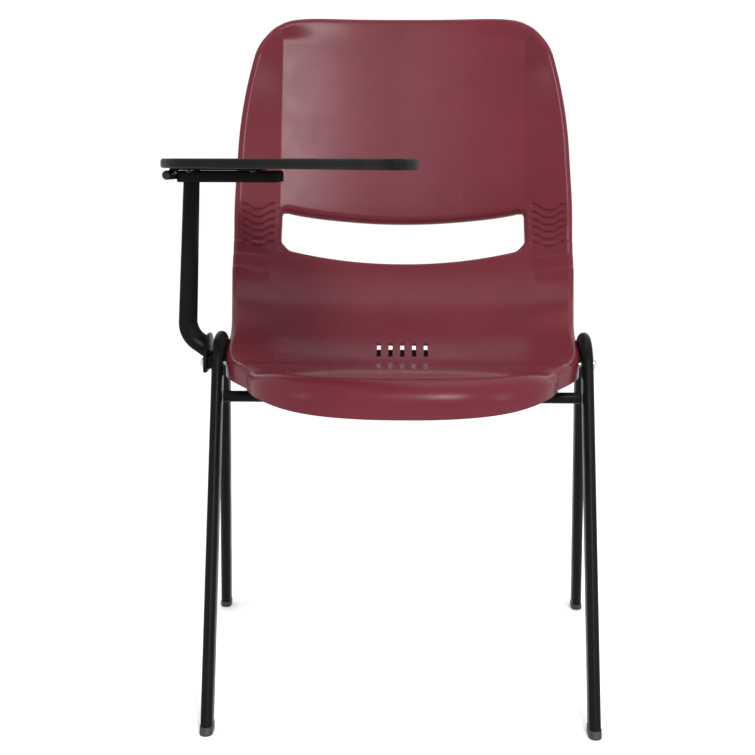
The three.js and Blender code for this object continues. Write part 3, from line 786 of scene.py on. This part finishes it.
def buildGlide(name, side, end, fore):
    # A shoe round the tube's foot: a waisted collar over a slightly wider, softened sole.
    shape = legShape
    alongX = np.array([1.0, 0, 0])
    top, foot = legPoint(side, fore, shape["glideHeight"]), legPoint(side, fore, 0)
    tangent = unit(foot - top)
    wall = shape["glideWall"]
    levels = [(9.0, -1.2), (9.0, -0.5), (8.7, -0.12), (8.2, 0.0), (5.6, 0.0), (5.3, -0.28), (4.9, -0.28),
              (4.6, 0.0), (1.0, 0.0), (0.5, -0.25), (0.15, -0.75), (0.0, -1.5)]
    rings = []
    for height, change in levels:
        wide = wall + change
        section = flatOval(shape["width"] + 2 * wide, shape["depth"] + 2 * wide)
        rings.append(levelRing(sectionRing(foot, tangent, alongX, section), tangent, height))
    loftPiece(f"nylon_glide_{end}_{name}", rings, glideNylon, replaces=(f"foot_glide_{end}_{name}",))


# Crossbars between the side frames.

crossbarShape = {
    "radius": 7.15,
    "halfLength": 229.95,
    "front": (-58, 373),
    "rear": (44.5, 413),
}


def buildCrossbars():
    shape = crossbarShape
    for name, trim in (("front", 2), ("rear", 0)):
        y, z = shape[name]
        half = shape["halfLength"] - trim
        profile = roundedProfile(shape["radius"], -half, half, 0.3, 2)
        spans = np.linspace(-half + 0.3, half - 0.3, 30)[1:-1]
        profile = profile[:4] + [(shape["radius"], at) for at in spans] + profile[4:]
        turnedPiece(f"{name}_round_crossbar", profile, (1, 0, 0), (0, y, z), framePaint,
                    replaces=(f"{name}_crossbar",))


# Screws, washers, nuts and spacers along X, at the shell's skirts.

screwShape = {
    "y": (-30, 26),
    "z": 412,
    "shank": 2.95,
    "headRadius": 6,
    "headHeight": 3.4,
    "washerRadius": 8,
    "washerThickness": 1.5,
    "washerHole": 3.3,
    "nutFlats": 10,
    "nutThickness": 5,
    "plateStandoff": 5.6,
    "plateThickness": 4.5,
    "gap": 0.3,
}


def ringSolid(name, outline, thickness, inner, centre, finish, soft=0.25, **options):
    # A plate along X with a round hole; the outline is a function of the angle.
    angles = np.arange(72) / 72 * 2 * np.pi
    radii = outline(angles)
    half = thickness / 2
    steps = [(radii, -half + soft), (radii - soft, -half), (np.full(72, inner + soft), -half),
             (np.full(72, inner), -half + soft), (np.full(72, inner), half - soft),
             (np.full(72, inner + soft), half), (radii - soft, half), (radii, half - soft)]
    rings = [np.stack([np.full(72, along), reach * np.cos(angles), reach * np.sin(angles)], axis=1) + centre
             for reach, along in steps]
    return loopPiece(name, rings, finish, **options)


def hexagon(flats):
    def outline(angles):
        away = np.mod(angles, np.pi / 3) - np.pi / 6
        return np.minimum(flats / 2 / np.cos(away), flats / 2 * 1.11)
    return outline


def circle(radius):
    return lambda angles: np.full(len(angles), radius)


def buildScrew(place, y, z, side, headFace, tip):
    # A pan head with a cross recess, a shank and a softened tip.
    shape = screwShape
    head, height = shape["headRadius"], shape["headHeight"]
    profile = [(shape["shank"] * 0.5, tip), (shape["shank"] - 0.1, tip + 0.8)]
    profile += threadProfile(shape["shank"], 0.28, np.arange(tip + 1.2, tip + 9, 0.35))
    profile += [(shape["shank"], headFace - 0.05), (head - 0.2, headFace), (head, headFace + 0.35)]
    for angle in np.arange(1, 9) / 8 * np.pi / 2:
        reach = max(head * np.cos(angle) ** 0.62, 0.9)
        profile.append((reach, headFace + 0.35 + (height - 0.4) * np.sin(angle)))
    piece = turnedPiece(f"pan_screw_{place}", profile, (side, 0, 0), (0, y, z), zincPlate, steps=32,
                        replaces=(f"shell_screw_{place}",))
    middle = (side * (headFace + height), y, z)
    axes = ((side, 0, 0), (0, 1, 0), (0, 0, 1))
    cutRecess(piece, middle, axes, 0.35, (-1.6, 1.6, 0.45), (0.6, 2.9, 0.75))


def threadProfile(radius, depth, places):
    return [(radius - (depth if number % 2 else 0.0), at) for number, at in enumerate(places)]


def cutRecess(piece, middle, axes, turn, deep, wide):
    # Cuts a cross of two tapered slots; deep and wide are (reach, half length, half width) of their ends.
    out, first, second = np.array(axes, float)
    signs = ((-1, -1), (1, -1), (1, 1), (-1, 1))
    for angle in (turn, turn + math.pi / 2):
        along = first * math.cos(angle) + second * math.sin(angle)
        across = second * math.cos(angle) - first * math.sin(angle)
        corners = [np.array(middle) + out * reach + along * a * length + across * b * width
                   for reach, length, width in (deep, wide) for a, b in signs]
        mesh = bpy.data.meshes.new("slotCutter")
        faces = [(0, 3, 2, 1), (4, 5, 6, 7), (0, 1, 5, 4), (1, 2, 6, 5), (2, 3, 7, 6), (3, 0, 4, 7)]
        mesh.from_pydata([tuple(point) for point in toFrame(corners)], [], faces)
        cutter = addObject("slotCutter", mesh)
        fixNormals(cutter)
        slot = piece.modifiers.new("slot", "BOOLEAN")
        slot.operation = "DIFFERENCE"
        slot.solver = "EXACT"
        slot.object = cutter
        bpy.context.view_layer.update()
        evaluated = piece.evaluated_get(bpy.context.evaluated_depsgraph_get())
        result = bpy.data.meshes.new_from_object(evaluated)
        piece.modifiers.clear()
        piece.data = result
        bpy.data.objects.remove(cutter)
    piece.data.set_sharp_from_angle(angle=math.radians(30))


def buildShellScrews():
    shape, leg = screwShape, legShape
    gap, z = shape["gap"], shape["z"]
    nutSeat = leg["archX"] - leg["width"] / 2 - shellShape["thickness"] - 0.9
    inner = nutSeat - gap
    outer = leg["archX"] + leg["width"] / 2
    plate = outer + shape["plateStandoff"] + 2 * gap + shape["plateThickness"]
    nut, washer, hole = shape["nutThickness"], shape["washerThickness"], shape["washerHole"]
    standoff = shape["plateStandoff"]
    for name, side in (("left", -1), ("right", 1)):
        seat = plate if side < 0 else outer
        for end, y in zip(("front", "rear"), shape["y"]):
            place = f"{end}_{name}"
            nutMiddle = (side * (inner - nut / 2), y, z)
            washerMiddle = (side * (seat + gap + washer / 2), y, z)
            ringSolid(f"hex_nut_{place}", hexagon(shape["nutFlats"]), nut, hole, nutMiddle, zincPlate,
                      soft=0.45, replaces=(f"shell_nut_{place}",))
            ringSolid(f"flat_washer_{place}", circle(shape["washerRadius"]), washer, hole, washerMiddle,
                      zincPlate, replaces=(f"shell_washer_{place}",))
            buildScrew(place, y, z, side, seat + 2 * gap + washer, inner - nut - 2)
            if side < 0:
                ringSolid(f"spacer_tube_{end}", circle(shape["washerRadius"]), standoff, hole,
                          (-(outer + gap + standoff / 2), y, z), framePaint, soft=0.4,
                          replaces=(f"arm_spacer_{end}",))


buildSideFrames()
print("side frames built")
buildCrossbars()
print("crossbars built")
buildShellScrews()
print("screws built")


# Tablet arm: side plate, bent oval tube, support bar, hinge and tablet.

armShape = {
    "plateOutline": [(-46, 401), (40, 401), (44, 405), (40, 424), (27, 439), (12, 447), (-12, 447),
                     (-27, 439), (-44, 424), (-48, 405)],
    "cornerSoftness": (3, 4, 10, 12, 12, 12, 12, 10, 4, 3),
    "top": (-273.5, 4, 642.7),
    "elbow": (-280.5, 0, 462),
    "bendRadius": 32,
    "bendAngle": 55,
    "width": 17,
    "depth": 28,
    "twistTop": 25,
    "twistBottom": 50,
    "end": 14,
}


def softOutline(corners, radii, steps=6):
    # Rounds each corner of a closed outline with a short curve.
    corners = [np.array(corner, float) for corner in corners]
    points = []
    for place, corner in enumerate(corners):
        before, after = corners[place - 1], corners[(place + 1) % len(corners)]
        reach = min(radii[place], *(0.45 * np.linalg.norm(end - corner) for end in (before, after)))
        first, last = corner + unit(before - corner) * reach, corner + unit(after - corner) * reach
        for step in range(steps + 1):
            share = step / steps
            points.append(first * (1 - share) ** 2 + 2 * corner * share * (1 - share) + last * share**2)
    return np.array(points)


def insetOutline(outline, distance):
    # Moves a closed outline inwards along its own normals.
    following = np.roll(outline, -1, axis=0)
    tangent = unit(following - np.roll(outline, 1, axis=0))
    inward = np.stack([-tangent[:, 1], tangent[:, 0]], axis=1)
    turning = np.sum(outline[:, 0] * following[:, 1] - following[:, 0] * outline[:, 1])
    return outline + inward * distance * np.sign(turning)


def plateRings(outline, low, high, soft, place, steps=4):
    # Rings of a flat plate with rounded edges; place turns outline points and a level into 3-D points.
    return [place(insetOutline(outline, inset), level) for inset, level in softEdge(low, high, soft, steps)]


def acrossX(outline, level):
    return np.column_stack([np.full(len(outline), level), outline])


def acrossZ(outline, level):
    return np.column_stack([outline, np.full(len(outline), level)])


def plateFaces():
    shape = screwShape
    inner = -(legShape["archX"] + legShape["width"] / 2 + shape["plateStandoff"] + 2 * shape["gap"])
    return inner - shape["plateThickness"], inner


def buildArmPlate():
    outline = softOutline(armShape["plateOutline"], armShape["cornerSoftness"])
    outer, inner = plateFaces()
    rings = plateRings(outline, outer, inner, 1.0, acrossX)
    loftPiece("arm_side_plate", rings, framePaint, replaces=("arm_plate",))


def armPath():
    shape = armShape
    top, elbow = np.array(shape["top"], float), np.array(shape["elbow"], float)
    radius = shape["bendRadius"]
    centre = elbow + [radius, 0, 0]
    angles = np.linspace(0, math.radians(shape["bendAngle"]), 20)
    bend = [centre + radius * np.array([-math.cos(angle), 0, -math.sin(angle)]) for angle in angles]
    heading = np.array([math.sin(angles[-1]), 0, -math.cos(angles[-1])])
    straight = [top + (elbow - top) * share for share in np.linspace(0, 1, 31)[:-1]]
    tip = [bend[-1] + heading * share * shape["end"] for share in (0.35, 0.7, 1)]
    return np.array([*straight, *bend, *tip])


def buildArmTube():
    shape = armShape
    path = armPath()
    angles = np.arange(48) / 48 * 2 * np.pi
    section = np.stack([shape["depth"] / 2 * np.cos(angles), shape["width"] / 2 * np.sin(angles)], axis=1)
    upper = np.linspace(0, 0.4615, 30, endpoint=False)
    share = np.concatenate([upper, np.linspace(0.4615, 1, len(path) - 30)])
    twist = shape["twistBottom"] - shape["twistTop"]
    turns = np.radians(shape["twistTop"] + twist * np.minimum(1, share * 1.6))
    rings = sweepRings(path, np.array([1, 0, 0.3]), section, turns)
    rings[0] = levelRing(rings[0], unit(path[1] - path[0]), shape["top"][2])
    outer, _ = plateFaces()
    tangent = unit(path[-1] - path[-2])
    reach = (outer - 0.3 - rings[-1][:, 0]) / tangent[0]
    rings[-1] = rings[-1] + reach[:, None] * tangent
    keep = [ring for ring in rings[:-1] if ring[:, 0].max() < outer - 0.4 or ring[:, 2].min() > 470]
    loftPiece("bent_arm_tube", [*keep, rings[-1]], framePaint, replaces=("tablet_arm_tube",))


supportShape = {
    "left": -289,
    "right": -154,
    "bottom": 643,
    "top": 657.8,
    "halfDepth": 21,
    "soft": 2.6,
}
hingeShape = {
    "x": -300,
    "z": 652,
    "knuckle": 6,
    "pin": 3,
    "clearance": 0.08,
    "half": 30,
    "split": 10,
    "gap": 0.4,
    "head": 4.8,
    "leafThickness": 2.4,
    "leaf": (-293, -178, 42),
}
tabletShape = {
    "bottom": 661,
    "top": 673,
    "outline": [(-250, 80), (-296, 42), (-309, -18), (-288, -82), (-232, -134), (-165, -192), (-102, -262),
                (-48, -336), (-8, -386), (13, -360), (12, -262), (-6, -150), (-58, -38), (-150, 50)],
    "soft": 3.6,
    "banding": 0.35,
}


def buildSupportBar():
    shape = supportShape
    half, centre = shape["halfDepth"], shape["right"] - shape["halfDepth"]
    angles = np.linspace(-np.pi / 2, np.pi / 2, 33)
    nose = np.stack([centre + half * np.cos(angles), half * np.sin(angles)], axis=1)
    corners = [(centre - 10, half), (shape["left"], half), (shape["left"], -half), (centre - 10, -half)]
    outline = np.vstack([nose, softOutline(corners, [0.1, 2.5, 2.5, 0.1], 5)])
    rings = plateRings(outline, shape["bottom"], shape["top"], shape["soft"], acrossZ, 5)
    loftPiece("rounded_support_bar", rings, framePaint, replaces=("tablet_support_bar",))


def knuckleOutline(armLow, armHigh, reach):
    # Barrel with an arm running off it, as an (X, Z) outline.
    shape = hingeShape
    radius = shape["knuckle"]
    start = math.asin(np.clip((armHigh - shape["z"]) / radius, -1, 1))
    end = 2 * math.pi + math.asin(np.clip((armLow - shape["z"]) / radius, -1, 1))
    angles = np.linspace(start, end, 40)
    barrel = [(shape["x"] + radius * math.cos(angle), shape["z"] + radius * math.sin(angle))
              for angle in angles]
    return np.array([*barrel, (reach, armLow), (reach, armHigh)])


def boredPiece(name, outline, low, high, **options):
    # A painted plate along Y with a round bore at the hinge's axis.
    shape = hingeShape
    centre = np.array([shape["x"], shape["z"]])
    away = unit(outline - centre)
    inner = centre + away * (shape["pin"] + shape["clearance"])
    soft = 0.3
    edge = outline - away * soft
    levels = [(outline, low + soft), (edge, low), (inner, low),
              (inner, high), (edge, high), (outline, high - soft)]
    rings = [np.column_stack([ring[:, 0], np.full(len(ring), y), ring[:, 1]]) for ring, y in levels]
    loopPiece(name, rings, framePaint, **options)


def buildHinge():
    shape, support = hingeShape, supportShape
    near, far = shape["split"] + shape["gap"], shape["half"]
    outline = knuckleOutline(shape["z"] - 5, shape["z"] + 1, support["left"] - 0.35)
    for name, low, high in (("front", -far, -near), ("rear", near, far)):
        boredPiece(f"fixed_knuckle_{name}", outline, low, high, replaces=(f"hinge_knuckle_{name}",))
    leafBottom = tabletShape["bottom"] - 0.3 - shape["leafThickness"]
    leafTop = leafBottom + shape["leafThickness"]
    left, right, half = shape["leaf"]
    outline = softOutline([(left, -half), (right, -half), (right, half), (left, half)], [2, 8, 8, 2])
    rings = plateRings(outline, leafBottom + 0.02, leafTop - 0.02, 0.5, acrossZ, 3)
    loftPiece("hinge_leaf_plate", rings, framePaint, body="tablet", replaces=("tablet_hinge_leaf",))
    centre = np.array([shape["x"], shape["z"]])
    angles = np.linspace(math.radians(90), math.radians(360 - 4), 34)
    barrel = centre + shape["knuckle"] * np.stack([np.cos(angles), np.sin(angles)], axis=1)
    arm = [(left - 1, shape["z"] + 0.5), (left - 1, leafBottom + 0.1), (left + 3, leafBottom + 0.1),
           (left + 3, leafTop - 0.03), (shape["x"] + 1.5, leafTop - 0.03),
           (shape["x"] + 0.2, leafTop - 0.6)]
    outline = np.vstack([barrel, arm])
    boredPiece("moving_knuckle", outline, -shape["split"], shape["split"], body="tablet",
               replaces=("tablet_hinge_leaf",))
    buildPin(far)


def buildPin(far):
    # A pin with a flat head at the front and a clip near its rear end.
    shape = hingeShape
    origin = (shape["x"], 0, shape["z"])
    profile = roundedProfile(shape["pin"], -far - 1.0, far + 3, 0.5)[5:]
    headStart, headEnd = -far - 3.0, -far - 0.8
    wide = shape["head"]
    head = [(0.05, headStart), (wide - 0.7, headStart), (wide - 0.2, headStart + 0.2),
            (wide, headStart + 0.7), (wide, headEnd - 0.25), (wide - 0.25, headEnd), (shape["pin"], headEnd)]
    turnedPiece("headed_hinge_pin", head + profile, (0, 1, 0), origin, blackOxide, replaces=("hinge_pin",))
    buildClip(origin, far + 1.5)


def buildClip(origin, middle):
    # An open spring ring round the pin's end.
    shape = hingeShape
    inner, outer, half = shape["pin"] + 0.3, shape["head"], 0.65
    angles = np.linspace(math.radians(-62), math.radians(242), 60)
    section = [(inner, -half + 0.15), (inner + 0.15, -half), (outer - 0.15, -half), (outer, -half + 0.15),
               (outer, half - 0.15), (outer - 0.15, half), (inner + 0.15, half), (inner, half - 0.15)]
    rings = [[(origin[0] + radius * math.cos(angle), middle + y, origin[2] + radius * math.sin(angle))
              for radius, y in section] for angle in angles]
    loftPiece("spring_clip", rings, blackOxide, replaces=("hinge_pin_clip",))


def tabletOutline(samples=26):
    corners = tabletShape["outline"]
    closed = [*corners[-2:], *corners, *corners[:2]]
    line, _ = curveThrough(closed, samples)
    start = 2 * samples
    return line[start:start + len(corners) * samples]


def buildTablet():
    shape = tabletShape
    outline = tabletOutline()
    soft, lip = shape["soft"], shape["banding"]
    low, high = shape["bottom"], shape["top"]
    levels = softEdge(low, high, soft, 6)
    levels += [(soft + 1.6, high), (soft + 2.0, high - lip), (soft + 2.8, high - lip),
               (soft + 3.4, high - 0.05)]
    rings = [acrossZ(insetOutline(outline, inset + 0.15), level) for inset, level in levels]
    loftPiece("moulded_tablet", rings, tabletPlastic, body="tablet", replaces=("tablet_top",))


def buildTabletScrews():
    shape = hingeShape
    left, right, half = shape["leaf"]
    leafBottom = tabletShape["bottom"] - 0.3 - shape["leafThickness"]
    places = [(x, y) for x in (left + 22, right - 12) for y in (-half + 9, half - 9)]
    start = leafBottom - 0.3
    for number, (x, y) in enumerate(places, 1):
        profile = [(0.05, -2.4), (2.5, -2.35), (3.9, -1.7), (4.4, -0.9), (4.5, -0.3), (4.5, -0.02),
                   (4.3, 0.0), (2.2, 0.02)]
        profile += threadProfile(2.2, 0.25, np.arange(0.8, 8.6, 0.3))
        profile += [(1.4, 8.9), (0.05, 9.0)]
        piece = turnedPiece(f"pan_tablet_screw_{number}", profile, (0, 0, 1), (x, y, start), blackOxide,
                            steps=32, body="tablet", replaces=(f"tablet_screw_{number}",))
        axes = ((0, 0, 1), (1, 0, 0), (0, 1, 0))
        cutRecess(piece, (x, y, start), axes, 0.5 * number, (-1.1, 1.2, 0.35), (-2.9, 2.3, 0.6))


buildArmPlate()
buildArmTube()
print("arm built")
buildSupportBar()
buildHinge()
print("hinge built")
buildTablet()
buildTabletScrews()
print("tablet built")


# Floor, light and camera.

stageSetup = {
    "cameraHeight": 670,
    "cameraBack": 1820,
    "lens": 66.8,
    "pitch": 8.77,
    "yaw": 1.04,
    "roll": -0.15,
}


def makeFloor():
    finish = startMaterial("paleFloor", (0.95, 0.95, 0.95), 0.6)
    addTint(finish, addNoise(finish, 3, 3), (0.94, 0.94, 0.94), (0.96, 0.96, 0.96))
    mesh = bpy.data.meshes.new("floor")
    reach = 30
    points = [(-reach, -reach, 0), (reach, -reach, 0), (reach, reach, 0), (-reach, reach, 0)]
    mesh.from_pydata(points, [], [(0, 1, 2, 3)])
    mesh.materials.append(finish.material)
    floor = addObject("floor", mesh)


def addArea(name, location, target, size, power):
    data = bpy.data.lights.new(name, "AREA")
    data.shape = "RECTANGLE"
    data.size, data.size_y = size
    data.energy = power
    light = addObject(name, data)
    light.location = location
    light.rotation_euler = (Vector(target) - Vector(location)).to_track_quat("-Z", "Y").to_euler()


def makeLights():
    world = bpy.data.worlds.new("studioWorld")
    world.use_nodes = True
    background = world.node_tree.nodes["Background"]
    background.inputs["Color"].default_value = (1, 1, 1, 1)
    background.inputs["Strength"].default_value = 1.07
    bpy.context.scene.world = world
    addArea("keySoftbox", (0.62, -2.2, 2.12), (-0.12, 0.25, 0.75), (0.62, 0.8), 58)
    addArea("rightStrip", (2.3, -1.6, 1.4), (0, 0.1, 0.5), (0.3, 1.1), 12)
    addArea("leftStrip", (-2.3, -1.6, 1.4), (0, 0.1, 0.5), (0.3, 1.1), 8)
    addArea("topSoftbox", (0, 0.4, 3.1), (0, 0.1, 0.5), (2.0, 1.8), 17)


def makeCamera():
    setup = stageSetup
    data = bpy.data.cameras.new("studioCamera")
    data.sensor_width = 36
    data.lens = setup["lens"]
    data.clip_end = 60
    camera = addObject("studioCamera", data)
    camera.location = toFrame((0, -setup["cameraBack"], setup["cameraHeight"]))
    camera.rotation_mode = "XYZ"
    turn = (90 - setup["pitch"], setup["roll"], setup["yaw"])
    camera.rotation_euler = tuple(math.radians(angle) for angle in turn)
    bpy.context.scene.camera = camera


makeFloor()
makeLights()
makeCamera()
bpy.context.scene.view_settings.view_transform = "Standard"
print("stage set")
